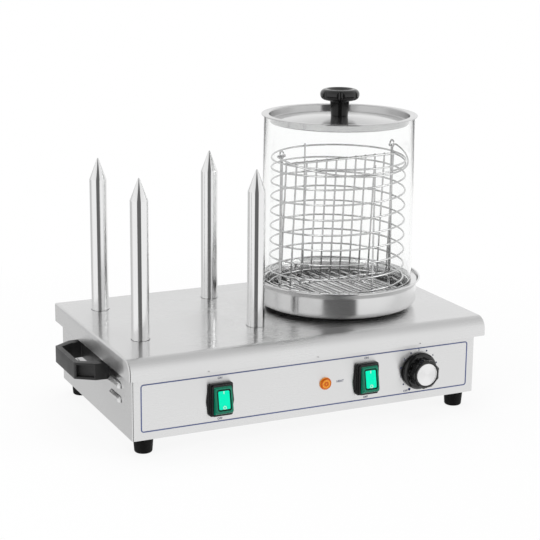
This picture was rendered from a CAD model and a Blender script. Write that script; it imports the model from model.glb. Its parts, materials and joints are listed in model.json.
"""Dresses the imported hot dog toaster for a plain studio.

Every class below models one sub-assembly around the fixed CAD frame. Sizes are in
millimetres, as on a workshop drawing, and the modelling helpers turn them into metres.
"""
import json
import logging
import math
from dataclasses import dataclass
from enum import Enum
from typing import Callable, Sequence

import bpy
from mathutils import Matrix, Vector


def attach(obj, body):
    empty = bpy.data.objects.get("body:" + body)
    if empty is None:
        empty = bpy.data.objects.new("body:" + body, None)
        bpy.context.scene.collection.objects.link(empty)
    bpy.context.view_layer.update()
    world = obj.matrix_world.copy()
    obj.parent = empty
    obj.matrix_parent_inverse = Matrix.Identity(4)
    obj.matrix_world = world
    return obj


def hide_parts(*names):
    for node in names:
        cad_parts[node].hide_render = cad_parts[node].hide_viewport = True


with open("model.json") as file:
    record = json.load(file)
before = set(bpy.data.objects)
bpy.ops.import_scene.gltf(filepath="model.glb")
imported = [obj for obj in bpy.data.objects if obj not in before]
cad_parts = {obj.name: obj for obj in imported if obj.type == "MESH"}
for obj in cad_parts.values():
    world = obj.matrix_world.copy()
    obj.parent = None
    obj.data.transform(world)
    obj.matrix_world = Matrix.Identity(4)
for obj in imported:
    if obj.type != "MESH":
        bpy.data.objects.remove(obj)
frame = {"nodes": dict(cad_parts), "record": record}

LOG = logging.getLogger("hot_dog_toaster")
MM = 0.001
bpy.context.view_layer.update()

Colour = tuple[float, float, float]
Point2 = tuple[float, float]
Point3 = tuple[float, float, float]
Piece = bpy.types.Object
Node = bpy.types.Node
Socket = bpy.types.NodeSocket
Sockets = bpy.types.bpy_prop_collection
Tree = bpy.types.NodeTree

# Places that more than one sub-assembly shares.
PANEL_Y = -134.3
SIDE_X = 244.0
BACK_Y = 140.5
CONTROL_Z = 60.8
SWITCHES_X = {"left": -128.0, "right": 79.0}
LAMP_CENTRE = (19.5, PANEL_Y, CONTROL_Z)
DIAL_CENTRE = (158.3, 0.0, CONTROL_Z)
GLAND_CENTRE = (170.0, 0.0, 52.5)
PAN_CENTRE = (103.0, 0.0, 0.0)
SPIKES = ((-205.0, 93.0), (-205.0, -61.0), (-46.0, 93.0), (-46.0, -61.0))


def alike(value: float) -> Point3:
    """Returns a value three times, as a grey or as an even scale."""
    return (value, value, value)


def polar(radius: float, degrees: float) -> Point2:
    """Returns the flat offset at a radius and an angle."""
    turn = math.radians(degrees)
    return radius * math.cos(turn), radius * math.sin(turn)


# ---------------------------------------------------------------- modelling helpers


class Plane(Enum):
    """The plane in which an outline is drawn, before it is pulled out to a solid."""

    FLOOR = "xy"
    FRONT = "xz"
    SIDE = "yz"

    def point(self, u: float, v: float, w: float) -> Vector:
        """Returns the place, in metres, of outline point (u, v) at depth w."""
        order = {"xy": (u, v, w), "xz": (u, w, v), "yz": (w, u, v)}[self.value]
        return Vector(order) * MM


class Turning(Enum):
    """The axis about which a turned piece is spun."""

    UPRIGHT = (0, 0, 1)
    LEVEL = (0, 1, 0)

    def point(self, r: float, h: float, centre: Point3) -> Vector:
        """Returns the place, in metres, of profile point (r, h) beside the axis.

        Args:
            r: Distance of the point from the axis.
            h: Its height along the axis.
            centre: The point on the axis from which heights count.

        Returns:
            The place.
        """
        x, y, z = centre
        spot = (x + r, y, z + h) if self is Turning.UPRIGHT else (x + r, y + h, z)
        return Vector(spot) * MM


def clear_selection() -> None:
    """Leaves edit mode and deselects every object."""
    active = bpy.context.view_layer.objects.active
    if active is not None and active.mode != "OBJECT":
        bpy.ops.object.mode_set(mode="OBJECT")
    bpy.ops.object.select_all(action="DESELECT")


def pick(piece: Piece) -> None:
    """Makes a piece the only selected and the active object."""
    clear_selection()
    piece.select_set(True)
    bpy.context.view_layer.objects.active = piece


def latest(name: str) -> Piece:
    """Names the object that an operator has just left active, and returns it."""
    piece = bpy.context.object
    piece.name = piece.data.name = name
    return piece


def freeze(piece: Piece) -> Piece:
    """Moves a piece's place, turn and scale into its mesh."""
    pick(piece)
    bpy.ops.object.transform_apply(location=True, rotation=True, scale=True)
    return piece


def modify(piece: Piece, kind: str, **settings: object) -> Piece:
    """Adds a modifier with the given settings and applies it.

    Args:
        piece: The piece to change.
        kind: Blender's name for the modifier type.
        settings: The modifier's own settings.

    Returns:
        The same piece.
    """
    pick(piece)
    modifier = piece.modifiers.new(kind.title(), kind)
    for name, value in settings.items():
        setattr(modifier, name, value)
    bpy.ops.object.modifier_apply(modifier=modifier.name)
    return piece


def weld(piece: Piece, gap: float = 0.002) -> Piece:
    """Merges doubled points, drops loose edges and turns all faces outwards.

    Args:
        piece: The piece to change.
        gap: Distance under which points are merged.

    Returns:
        The same piece.
    """
    pick(piece)
    bpy.ops.object.mode_set(mode="EDIT")
    bpy.ops.mesh.select_all(action="SELECT")
    bpy.ops.mesh.remove_doubles(threshold=gap * MM)
    bpy.ops.mesh.delete_loose()
    bpy.ops.mesh.select_all(action="SELECT")
    bpy.ops.mesh.normals_make_consistent(inside=False)
    bpy.ops.object.mode_set(mode="OBJECT")
    return piece


def soften(piece: Piece, angle: float = 32.0) -> Piece:
    """Shades a piece smooth, except along edges sharper than an angle."""
    pick(piece)
    bpy.ops.object.shade_smooth_by_angle(angle=math.radians(angle))
    return piece


def keep_flat(piece: Piece) -> Piece:
    """Shades large flat faces flat beside small rounded ones, so that they mirror straight."""
    return modify(piece, "WEIGHTED_NORMAL", weight=100, keep_sharp=True)


def round_edges(piece: Piece, radius: float, segments: int = 3, angle: float = 40.0) -> Piece:
    """Rounds every edge of a piece that is sharper than an angle.

    Args:
        piece: The piece to change.
        radius: Radius of the rounding.
        segments: Number of faces across the rounding.
        angle: The least angle of a rounded edge, in degrees.

    Returns:
        The same piece.
    """
    return modify(
        piece, "BEVEL", width=radius * MM, segments=segments, limit_method="ANGLE",
        angle_limit=math.radians(angle), use_clamp_overlap=True, miter_outer="MITER_ARC",
    )


def round_chosen(
    piece: Piece, radius: float, segments: int, test: Callable[[Vector, Vector], bool]
) -> Piece:
    """Rounds the edges whose two ends, in millimetres, pass a test.

    Args:
        piece: The piece to change.
        radius: Radius of the rounding.
        segments: Number of faces across the rounding.
        test: Says for the two ends of an edge whether it is rounded.

    Returns:
        The same piece.
    """
    pick(piece)
    bpy.ops.object.mode_set(mode="EDIT")
    bpy.ops.mesh.select_mode(type="EDGE")
    bpy.ops.mesh.select_all(action="DESELECT")
    bpy.ops.object.mode_set(mode="OBJECT")
    spots = [vertex.co / MM for vertex in piece.data.vertices]
    for edge in piece.data.edges:
        edge.select = test(spots[edge.vertices[0]], spots[edge.vertices[1]])
    bpy.ops.object.mode_set(mode="EDIT")
    bpy.ops.mesh.bevel(offset=radius * MM, segments=segments, affect="EDGES")
    bpy.ops.object.mode_set(mode="OBJECT")
    return piece


def rounded_path(
    points: Sequence[Vector], radii: Sequence[float], closed: bool = False, step: float = 12.0
) -> list[Vector]:
    """Replaces the corners of a path by arcs.

    Args:
        points: The corners, in millimetres.
        radii: Radius of the arc at each corner, 0 where it stays sharp.
        closed: True if the last corner joins the first.
        step: Largest turn of one segment of an arc, in degrees.

    Returns:
        The points of the rounded path.
    """
    path: list[Vector] = []
    count = len(points)
    for i, (corner, radius) in enumerate(zip(points, radii)):
        if radius <= 0 or (not closed and i in (0, count - 1)):
            path.append(Vector(corner))
            continue
        before = (Vector(points[i - 1]) - corner).normalized()
        after = (Vector(points[(i + 1) % count]) - corner).normalized()
        opening = before.angle(after)
        centre = corner + (before + after).normalized() * radius / math.sin(opening / 2)
        reach = radius / math.tan(opening / 2)
        start = corner + before * reach - centre
        axis = start.cross(corner + after * reach - centre)
        sweep = math.pi - opening
        parts = max(2, math.ceil(math.degrees(sweep) / step))
        for k in range(parts + 1):
            path.append(centre + Matrix.Rotation(sweep * k / parts, 3, axis) @ start)
    return path


def rounded_outline(corners: Sequence[Point3], closed: bool = True) -> list[Point2]:
    """Rounds a flat outline.

    Args:
        corners: The corners as (u, v, radius).
        closed: True if the last corner joins the first.

    Returns:
        The points of the rounded outline.
    """
    points = [Vector((u, v, 0)) for u, v, _ in corners]
    path = rounded_path(points, [radius for _, _, radius in corners], closed)
    return [(point.x, point.y) for point in path]


def drawn(outline: Sequence[Point2 | Point3], closed: bool) -> Sequence[Point2]:
    """Returns an outline's points, with its corners rounded where it gives their radii."""
    return rounded_outline(outline, closed) if len(outline[0]) == 3 else outline


def pulled(
    name: str, outline: Sequence[Point2 | Point3], plane: Plane, low: float, high: float
) -> Piece:
    """Pulls a flat outline out to a solid.

    Args:
        name: Name of the new piece.
        outline: The corners in order, as (u, v) or as (u, v, radius).
        plane: The plane of the outline.
        low: Depth at which the outline stands.
        high: Depth to which it is pulled.

    Returns:
        The solid.
    """
    points = drawn(outline, True)
    clear_selection()
    bpy.ops.mesh.primitive_circle_add(vertices=len(points), radius=MM, fill_type="NGON")
    piece = latest(name)
    for vertex, (u, v) in zip(piece.data.vertices, points):
        vertex.co = plane.point(u, v, low)
    bpy.ops.object.mode_set(mode="EDIT")
    bpy.ops.mesh.select_all(action="SELECT")
    bpy.ops.mesh.extrude_region_move(
        TRANSFORM_OT_translate={"value": plane.point(0, 0, high - low)}
    )
    return weld(piece)


def turned(
    name: str, profile: Sequence[Point2 | Point3], centre: Point3 = (0, 0, 0),
    axis: Turning = Turning.UPRIGHT, steps: int = 96,
) -> Piece:
    """Spins a profile about an axis.

    Args:
        name: Name of the new piece.
        profile: Its points in order, as (radius, height) or as (radius, height, rounding).
        centre: The point on the axis from which heights count.
        axis: The axis of the lathe.
        steps: Number of faces around the piece.

    Returns:
        The turned piece.
    """
    spots = [axis.point(r, h, centre) for r, h in drawn(profile, False)]
    clear_selection()
    bpy.ops.mesh.primitive_plane_add(size=MM, location=spots[0])
    piece = latest(name)
    bpy.ops.object.mode_set(mode="EDIT")
    bpy.ops.mesh.select_mode(type="VERT")
    bpy.ops.mesh.merge(type="CENTER")
    for here, there in zip(spots, spots[1:]):
        bpy.ops.mesh.extrude_vertices_move(TRANSFORM_OT_translate={"value": there - here})
    bpy.ops.mesh.select_all(action="SELECT")
    bpy.ops.mesh.spin(
        steps=steps, angle=2 * math.pi, center=axis.point(0, 0, centre), axis=axis.value
    )
    bpy.ops.object.mode_set(mode="OBJECT")
    return weld(freeze(piece))


def tube(
    name: str, points: Sequence[Vector], radius: float, closed: bool = False, sides: int = 12
) -> Piece:
    """Draws round wire along a path, as a curve turned into a mesh.

    Args:
        name: Name of the new piece.
        points: The middle of the wire, in millimetres.
        radius: Radius of the wire.
        closed: True if the wire is a ring.
        sides: Number of faces around the wire.

    Returns:
        The wire.
    """
    curve = bpy.data.curves.new(name, "CURVE")
    curve.dimensions = "3D"
    curve.bevel_depth = radius * MM
    curve.bevel_resolution = max(0, sides // 4 - 1)
    curve.use_fill_caps = not closed
    spline = curve.splines.new("POLY")
    spline.points.add(len(points) - 1)
    for spot, point in zip(spline.points, points):
        spot.co = (*(Vector(point) * MM), 1)
    spline.use_cyclic_u = closed
    wire = bpy.data.objects.new(name, curve)
    bpy.context.scene.collection.objects.link(wire)
    pick(wire)
    bpy.ops.object.convert(target="MESH")
    return weld(latest(name))


def block(name: str, low: Point3, high: Point3) -> Piece:
    """Adds a box, to be cut, rounded or used as a cutter.

    Args:
        name: Name of the new piece.
        low: Its corner with the smallest coordinates.
        high: Its corner with the largest coordinates.

    Returns:
        The box.
    """
    clear_selection()
    middle = [(a + b) / 2 * MM for a, b in zip(low, high)]
    bpy.ops.mesh.primitive_cube_add(size=1, location=middle)
    piece = latest(name)
    piece.scale = [(b - a) * MM for a, b in zip(low, high)]
    return freeze(piece)


def rod(name: str, radius: float, start: Point3, end: Point3, sides: int = 48) -> Piece:
    """Adds a round bar, to be shaped further or used as a cutter.

    Args:
        name: Name of the new piece.
        radius: Its radius.
        start: Middle of its one end.
        end: Middle of its other end.
        sides: Number of faces around it.

    Returns:
        The bar.
    """
    clear_selection()
    first, last = Vector(start) * MM, Vector(end) * MM
    bpy.ops.mesh.primitive_cylinder_add(
        vertices=sides, radius=radius * MM, depth=(last - first).length,
        location=(first + last) / 2,
        rotation=(last - first).to_track_quat("Z", "Y").to_euler(),
    )
    return freeze(latest(name))


def joined(name: str, parts: Sequence[Piece]) -> Piece:
    """Joins pieces into one object of the given name.

    Args:
        name: Name of the joined piece.
        parts: The pieces, which are used up.

    Returns:
        The joined piece.
    """
    clear_selection()
    for part in parts:
        part.select_set(True)
    bpy.context.view_layer.objects.active = parts[0]
    if len(parts) > 1:
        bpy.ops.object.join()
    return latest(name)


def copied(piece: Piece, name: str, turn: Matrix) -> Piece:
    """Copies a piece with its own mesh.

    Args:
        piece: The piece to copy.
        name: Name of the copy.
        turn: The move and turn of the copy, in metres.

    Returns:
        The copy, with its place in its mesh.
    """
    twin = piece.copy()
    twin.data = piece.data.copy()
    twin.name = twin.data.name = name
    bpy.context.scene.collection.objects.link(twin)
    twin.matrix_world = turn
    return freeze(twin)


def shifted(x: float = 0, y: float = 0, z: float = 0) -> Matrix:
    """Returns a move in millimetres as a matrix in metres."""
    return Matrix.Translation(Vector((x, y, z)) * MM)


def spread(piece: Piece, name: str, spots: Sequence[Point2 | Point3]) -> list[Piece]:
    """Copies a piece to each of several spots and uses it up.

    Args:
        piece: The piece to copy.
        name: Name of the copies.
        spots: The places of the copies, in millimetres.

    Returns:
        The copies.
    """
    copies = [copied(piece, name, shifted(*spot)) for spot in spots]
    bpy.data.objects.remove(piece)
    return copies


def mirrored(piece: Piece, name: str) -> Piece:
    """Copies a piece to the other side of the middle plane, with its faces set right."""
    return weld(copied(piece, name, Matrix.Scale(-1, 4, (1, 0, 0))))


def boolean(piece: Piece, tools: Sequence[Piece], operation: str) -> Piece:
    """Cuts or adds tool pieces, which are used up.

    Args:
        piece: The piece to change.
        tools: The pieces that cut it or are added to it.
        operation: DIFFERENCE or UNION.

    Returns:
        The changed piece.
    """
    tool = joined("tool", tools)
    modify(piece, "BOOLEAN", operation=operation, object=tool, solver="EXACT")
    bpy.data.objects.remove(tool)
    return piece


def cut(piece: Piece, *tools: Piece) -> Piece:
    """Takes the tool pieces away from a piece."""
    return boolean(piece, tools, "DIFFERENCE")


def fuse(piece: Piece, *tools: Piece) -> Piece:
    """Adds the tool pieces to a piece as one solid."""
    return boolean(piece, tools, "UNION")


# ---------------------------------------------------------------- node helpers and groups


class Graph:
    """A short way to place and link nodes in a node tree."""

    def __init__(self, tree: Tree) -> None:
        """Keeps the tree that the nodes go into."""
        self.tree = tree

    def feed(self, node: Node, inputs: dict) -> Node:
        """Sets or links the inputs of a node.

        Args:
            node: The node.
            inputs: Values or output sockets for its inputs, by name or number.

        Returns:
            The same node.
        """
        for key, value in inputs.items():
            if isinstance(value, Socket):
                self.tree.links.new(value, node.inputs[key])
            else:
                node.inputs[key].default_value = value
        return node

    def add(self, kind: str, inputs: dict | None = None, **settings: object) -> Node:
        """Adds a node.

        Args:
            kind: The node's type name.
            inputs: Values or output sockets for the node's inputs, by name or number.
            settings: The node's own settings.

        Returns:
            The node.
        """
        node = self.tree.nodes.new(kind)
        for name, value in settings.items():
            setattr(node, name, value)
        return self.feed(node, inputs or {})

    def math(self, operation: str, a: object, b: object = 0.0) -> Socket:
        """Returns the result of a sum of one or two numbers."""
        return self.add("ShaderNodeMath", {0: a, 1: b}, operation=operation).outputs[0]

    def vector(self, operation: str, a: object, b: object = (0, 0, 0)) -> Socket:
        """Returns the vector result of a vector sum."""
        return self.add("ShaderNodeVectorMath", {0: a, 1: b}, operation=operation).outputs[0]

    def measure(self, operation: str, a: object, b: object = (0, 0, 0)) -> Socket:
        """Returns the number that a vector sum gives, such as a length."""
        node = self.add("ShaderNodeVectorMath", {0: a, 1: b}, operation=operation)
        return node.outputs["Value"]

    def noise(self, place: Socket, scale: object, detail: float = 2.0) -> Socket:
        """Returns soft noise between 0 and 1."""
        inputs = {"Vector": place, "Scale": scale, "Detail": detail}
        return self.add("ShaderNodeTexNoise", inputs).outputs["Fac"]

    def span(
        self, value: object, low: float, high: float, out_low: float = 0.0, out_high: float = 1.0
    ) -> Socket:
        """Maps a value from one range to another, held at both ends.

        Args:
            value: The value.
            low: Start of its range.
            high: End of its range.
            out_low: The result at the start.
            out_high: The result at the end.

        Returns:
            The result.
        """
        inputs = {"Value": value, 1: low, 2: high, 3: out_low, 4: out_high}
        return self.add("ShaderNodeMapRange", inputs).outputs[0]

    def mix(self, factor: object, a: object, b: object) -> Socket:
        """Mixes two colours.

        Args:
            factor: Share of the second colour.
            a: The first colour, as a socket or a tuple.
            b: The second colour.

        Returns:
            The mixed colour.
        """
        first, second = ((*part, 1) if isinstance(part, tuple) else part for part in (a, b))
        inputs = {0: factor, 6: first, 7: second}
        return self.add("ShaderNodeMix", inputs, data_type="RGBA").outputs[2]

    def place(self) -> Socket:
        """Returns the place on the piece, in metres."""
        return self.add("ShaderNodeTexCoord").outputs["Object"]

    def seen(self) -> Socket:
        """Returns 1 for rays that the camera sends, also through glass, and 0 for others."""
        path = self.add("ShaderNodeLightPath")
        return self.math("MAXIMUM", path.outputs["Is Camera Ray"],
                         path.outputs["Is Transmission Ray"])


def new_group(
    name: str, inputs: dict[str, float | None], outputs: Sequence[str],
    fill: Callable[[Graph, Sockets], Sequence[Socket]],
) -> Tree:
    """Builds a shader node group.

    Args:
        name: Name of the group.
        inputs: For each input its default number, or None for a vector.
        outputs: Names of its number outputs.
        fill: Adds the group's nodes and returns their results in the outputs' order.

    Returns:
        The group.
    """
    tree = bpy.data.node_groups.new(name, "ShaderNodeTree")
    for label, value in inputs.items():
        kind = "NodeSocketVector" if value is None else "NodeSocketFloat"
        socket = tree.interface.new_socket(label, in_out="INPUT", socket_type=kind)
        if value is not None:
            socket.default_value = value
    for label in outputs:
        tree.interface.new_socket(label, in_out="OUTPUT", socket_type="NodeSocketFloat")
    graph = Graph(tree)
    results = fill(graph, graph.add("NodeGroupInput").outputs)
    graph.add("NodeGroupOutput", dict(zip(outputs, results)))
    return tree


def brush_lines(graph: Graph, given: Sockets) -> tuple[Socket, Socket]:
    """Fine lines left by a brush or a lathe, along the direction in which the place is squeezed.

    Args:
        graph: The group's graph.
        given: The group's inputs.

    Returns:
        The lines and a slow cloud.
    """
    stretched = graph.vector("MULTIPLY", given["Place"], given["Squeeze"])
    fine = graph.noise(stretched, 1.0, 3.0)
    broad = graph.noise(graph.vector("MULTIPLY", stretched, alike(0.22)), 1.0)
    lines = graph.math("ADD", graph.math("MULTIPLY", fine, 0.65),
                       graph.math("MULTIPLY", broad, 0.35))
    return lines, graph.noise(given["Place"], 9.0)


def moulded_grain(graph: Graph, given: Sockets) -> tuple[Socket, Socket]:
    """Fine even grain of moulded plastic, with slow mottling.

    Args:
        graph: The group's graph.
        given: The group's inputs.

    Returns:
        The grain and the mottling.
    """
    return graph.noise(given["Place"], given["Scale"]), graph.noise(given["Place"], 35.0, 3.0)


def edge_wear(graph: Graph, given: Sockets) -> tuple[Socket]:
    """Mask of worn edges: where the rounded normal leaves the true one, broken up by noise.

    Args:
        graph: The group's graph.
        given: The group's inputs.

    Returns:
        The mask.
    """
    rounded = graph.add("ShaderNodeBevel", {"Radius": given["Radius"]}, samples=4).outputs[0]
    true = graph.add("ShaderNodeNewGeometry").outputs["Normal"]
    edge = graph.span(graph.measure("DOT_PRODUCT", rounded, true), 0.995, 0.85)
    broken = graph.span(graph.noise(given["Place"], 260.0, 4.0), 0.35, 0.65)
    return (graph.math("MULTIPLY", edge, broken),)


# ---------------------------------------------------------------- finishes


def started(name: str) -> tuple[bpy.types.Material, Graph, Node]:
    """Starts a material.

    Args:
        name: The material's name.

    Returns:
        The material, its graph and its Principled shader.
    """
    material = bpy.data.materials.new(name)
    material.use_nodes = True
    return material, Graph(material.node_tree), material.node_tree.nodes["Principled BSDF"]


def tinted(colour: Colour, factor: float) -> Colour:
    """Returns a colour made lighter or darker."""
    return tuple(min(1.0, part * factor) for part in colour)


class Lay(Enum):
    """How the fine lines lie on a metal piece."""

    SHEET = "along the sheet"
    UPRIGHT = "round an upright axis"
    FACE = "round the dial's axis"
    ROD = "round each upright rod"
    NONE = "no direction"


@dataclass(frozen=True)
class Finish:
    """What every finish has.

    Attributes:
        name: Name of the material.
        colour: Base colour.
        roughness: Middle roughness.
    """

    name: str
    colour: Colour
    roughness: float

    def varied(self, graph: Graph, value: Socket, share: float) -> Socket:
        """Returns the base colour, made darker and lighter by a pattern.

        Args:
            graph: The material's graph.
            value: The pattern.
            share: Largest change of the colour.

        Returns:
            The colour.
        """
        return graph.mix(graph.span(value, 0.3, 0.7), tinted(self.colour, 1 - share),
                         tinted(self.colour, 1 + share))

    def worn(
        self, graph: Graph, tree: Tree, colour: Socket, share: float, radius: float, light: Colour
    ) -> Socket:
        """Lightens the worn edges of a piece.

        Args:
            graph: The material's graph.
            tree: The shared group of worn edges.
            colour: The colour away from the edges.
            share: How much edges are lightened.
            radius: Reach of the wear from an edge, in metres.
            light: Colour of a worn edge.

        Returns:
            The colour with its edges.
        """
        wear = graph.add("ShaderNodeGroup", {"Place": graph.place(), "Radius": radius},
                         node_tree=tree)
        return graph.mix(graph.math("MULTIPLY", wear.outputs["Mask"], share), colour, light)

    def bump(self, graph: Graph, height: Socket, strength: float, depth: float) -> Socket:
        """Returns a normal that follows a height pattern.

        Args:
            graph: The material's graph.
            height: The pattern.
            strength: Strength of the effect.
            depth: Height of the pattern, in millimetres.

        Returns:
            The normal.
        """
        inputs = {"Strength": strength, "Distance": depth * MM, "Height": height}
        return graph.add("ShaderNodeBump", inputs).outputs[0]


@dataclass(frozen=True)
class MetalFinish(Finish):
    """A metal surface with fine lines.

    Attributes:
        lines: How much the lines change the colour.
        depth: Height of the lines, in millimetres.
        lay: How the lines lie.
        stretch: Anisotropy.
        squeeze: Scale of the line pattern along x, y and z, per metre.
        centre: Centre of the turning lines, in millimetres.
        wear: How much edges are lightened.
        vary: Share by which the lines change the roughness.
        coat: Weight of the sharp reflection over the lines.
    """

    lines: float = 0.04
    depth: float = 0.004
    lay: Lay = Lay.NONE
    stretch: float = 0.0
    squeeze: Point3 = alike(900.0)
    centre: Point3 = (0.0, 0.0, 0.0)
    wear: float = 0.0
    vary: float = 0.08
    coat: float = 0.0

    def from_centre(self, graph: Graph) -> Socket:
        """Returns the place on the piece, counted from the centre of the turning lines."""
        return graph.vector("SUBTRACT", graph.place(), tuple(v * MM for v in self.centre))

    def line_place(self, graph: Graph) -> Socket:
        """Returns the coordinates along which the lines run.

        Args:
            graph: The material's graph.

        Returns:
            The coordinates.
        """
        if self.lay not in (Lay.UPRIGHT, Lay.FACE):
            return graph.place()
        side, deep, up = graph.add("ShaderNodeSeparateXYZ", {0: self.from_centre(graph)}).outputs
        along, across = (up, deep) if self.lay is Lay.UPRIGHT else (deep, up)
        squares = graph.math("ADD", graph.math("POWER", side, 2.0),
                             graph.math("POWER", across, 2.0))
        inputs = {0: graph.math("ARCTAN2", across, side), 1: graph.math("SQRT", squares), 2: along}
        return graph.add("ShaderNodeCombineXYZ", inputs).outputs[0]

    def tangent(self, graph: Graph) -> Socket | None:
        """Returns the direction in which highlights stretch, across the lines.

        Args:
            graph: The material's graph.

        Returns:
            The direction, or None where the lines have none.
        """
        if self.lay is Lay.NONE:
            return None
        if self.lay is Lay.ROD:
            return graph.add("ShaderNodeCombineXYZ", {2: 1.0}).outputs[0]
        normal = graph.add("ShaderNodeNewGeometry").outputs["Normal"]
        along: object = (1.0, 0.02, 0.0)
        if self.lay is not Lay.SHEET:
            axis = (0.0, 0.0, 1.0) if self.lay is Lay.UPRIGHT else (0.0, 1.0, 0.0)
            along = graph.vector("CROSS_PRODUCT", axis, self.from_centre(graph))
        return graph.vector("NORMALIZE", graph.vector("CROSS_PRODUCT", normal, along))

    def make(self, groups: dict[str, Tree]) -> bpy.types.Material:
        """Builds the material.

        Args:
            groups: The shared node groups.

        Returns:
            The material.
        """
        material, graph, shader = started(self.name)
        brush = graph.add("ShaderNodeGroup", {
            "Place": self.line_place(graph), "Squeeze": self.squeeze}, node_tree=groups["brush"])
        lines = brush.outputs["Lines"]
        colour = self.varied(graph, lines, self.lines)
        if self.wear:
            colour = self.worn(graph, groups["wear"], colour, self.wear, 0.0008,
                               tinted(self.colour, 1.2))
        change = graph.math("ADD", graph.span(lines, 0.25, 0.75, -self.vary, self.vary),
                            graph.span(brush.outputs["Cloud"], 0.3, 0.7, -0.06, 0.06))
        change = graph.math("MULTIPLY", change, self.roughness)
        graph.feed(shader, {
            "Base Color": colour, "Roughness": graph.math("ADD", change, self.roughness),
            "Metallic": 1.0, "Anisotropic": self.stretch, "Coat Weight": self.coat,
            "Coat IOR": 1.8, "Coat Roughness": 0.04,
            "Normal": self.bump(graph, lines, 0.5, self.depth)})
        tangent = self.tangent(graph)
        if tangent is not None:
            graph.feed(shader, {"Tangent": tangent})
        return material


@dataclass(frozen=True)
class PlasticFinish(Finish):
    """Moulded plastic, rubber, ceramic or print.

    Attributes:
        grain: Scale of the surface grain, per metre.
        depth: Height of the grain, in millimetres.
        mottle: How much the colour varies slowly.
        shine: Strength of the surface's reflection, 0.5 for common plastic.
        wear: How much edges are lightened.
        glow: Strength of light from inside.
        inner: Weight of light scattered under the surface.
        rings: Middle, across and up, of concentric lens rings in the colour.
    """

    grain: float = 900.0
    depth: float = 0.02
    mottle: float = 0.08
    shine: float = 0.5
    wear: float = 0.0
    glow: float = 0.0
    inner: float = 0.0
    rings: Point2 | None = None

    def ring_mask(self, graph: Graph) -> Socket:
        """Returns bright rings about the lens's middle, as its prisms gather the light.

        Args:
            graph: The material's graph.

        Returns:
            The mask.
        """
        middle = (self.rings[0] * MM, 0.0, self.rings[1] * MM)
        flat = graph.vector("MULTIPLY", graph.vector("SUBTRACT", graph.place(), middle),
                            (1.0, 0.0, 1.0))
        wave = graph.math("COSINE", graph.math("MULTIPLY", graph.measure("LENGTH", flat), 1400.0))
        return graph.span(wave, -0.6, 0.8)

    def make(self, groups: dict[str, Tree]) -> bpy.types.Material:
        """Builds the material.

        Args:
            groups: The shared node groups.

        Returns:
            The material.
        """
        material, graph, shader = started(self.name)
        moulded = graph.add("ShaderNodeGroup", {"Place": graph.place(), "Scale": self.grain},
                            node_tree=groups["grain"])
        grain, mottle = moulded.outputs["Grain"], moulded.outputs["Mottle"]
        colour = self.varied(graph, mottle, self.mottle)
        if self.rings:
            colour = graph.mix(self.ring_mask(graph), colour, (0.85, 0.36, 0.03))
        if self.wear:
            colour = self.worn(graph, groups["wear"], colour, self.wear, 0.0005,
                               tuple(part + 0.06 for part in self.colour))
        change = graph.math("ADD", graph.span(grain, 0.3, 0.7, -0.1, 0.1),
                            graph.span(mottle, 0.3, 0.7, -0.08, 0.08))
        graph.feed(shader, {
            "Base Color": colour, "Roughness": graph.math("ADD", change, self.roughness),
            "Specular IOR Level": self.shine,
            "Normal": self.bump(graph, grain, 0.4, self.depth)})
        if self.glow:
            graph.feed(shader, {"Emission Color": colour, "Emission Strength": self.glow})
        if self.inner:
            graph.feed(shader, {"Subsurface Weight": self.inner,
                                "Subsurface Radius": alike(0.002)})
        return material


@dataclass(frozen=True)
class GlassFinish(Finish):
    """Clear tempered glass that lets light through to what stands in it.

    Attributes:
        index: Index of refraction.
        shade: Darkness of its shadow.
    """

    index: float = 1.22
    shade: float = 0.06

    def make(self, groups: dict[str, Tree]) -> bpy.types.Material:
        """Builds the material, with faint smears in its roughness.

        Args:
            groups: The shared node groups.

        Returns:
            The material.
        """
        material, graph, shader = started(self.name)
        smears = graph.add("ShaderNodeGroup", {"Place": graph.place(), "Scale": 12.0},
                           node_tree=groups["grain"])
        shadow = graph.add("ShaderNodeLightPath").outputs["Is Shadow Ray"]
        clear = graph.math("MULTIPLY", shadow, 1.0 - self.shade)
        graph.feed(shader, {
            "Base Color": (*self.colour, 1), "Transmission Weight": 1.0, "IOR": self.index,
            "Roughness": graph.span(smears.outputs["Grain"], 0.5, 0.8, 0.0, self.roughness),
            "Alpha": graph.math("SUBTRACT", 1.0, clear),
            "Normal": self.bump(graph, smears.outputs["Mottle"], 0.1, 0.02)})
        return material


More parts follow.
